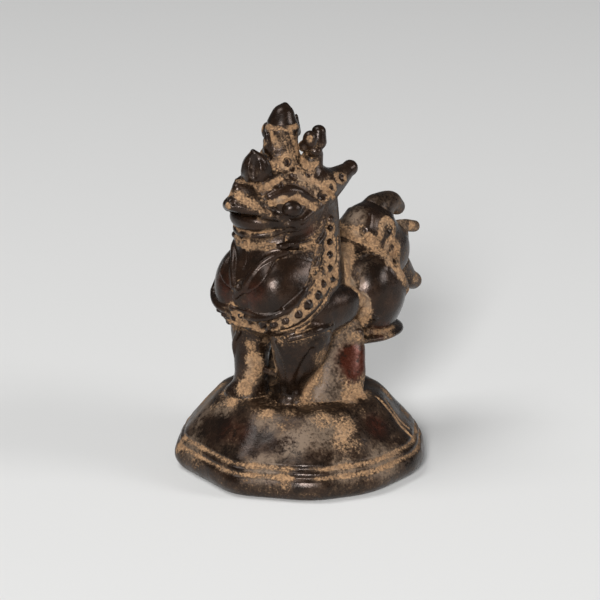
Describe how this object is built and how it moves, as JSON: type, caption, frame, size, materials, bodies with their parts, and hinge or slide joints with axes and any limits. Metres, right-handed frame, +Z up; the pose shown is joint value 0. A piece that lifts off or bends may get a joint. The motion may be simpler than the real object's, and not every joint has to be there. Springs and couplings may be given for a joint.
{
  "type": "opium weight",
  "caption": "Cast bronze animal weight: a crested mythical beast with a beaded collar and a flame tail on a sloping ten-sided base",
  "frame": {"origin": "centre of the flat underside of the base, under the middle of its top", "axes": "+Z up; the beast looks along -Y; its left side is +X"},
  "size_m": [0.0394, 0.0484, 0.0573],
  "materials": {
    "bronze": "satin",
    "lead": "matte"
  },
  "bodies": {
    "root": {"base": "bronze", "adjusting_plug": "lead", "left_foreleg": "bronze", "right_foreleg": "bronze", "left_hind_leg": "bronze", "right_hind_leg": "bronze", "trunk": "bronze", "neck": "bronze", "left_haunch": "bronze", "right_haunch": "bronze", "left_breast": "bronze", "right_breast": "bronze", "throat_bib": "bronze", "garland": "bronze", "left_wing": "bronze", "right_wing": "bronze", "head": "bronze", "lower_jaw": "bronze", "left_eye": "bronze", "right_eye": "bronze", "left_brow": "bronze", "right_brow": "bronze", "front_boss": "bronze", "top_bud": "bronze", "left_crest_bud": "bronze", "right_crest_bud": "bronze", "left_rear_bud": "bronze", "right_rear_bud": "bronze", "tail_plume": "bronze", "tail_tip_upper": "bronze", "tail_tip_middle": "bronze", "tail_tip_lower": "bronze"}
  },
  "joints": []
}
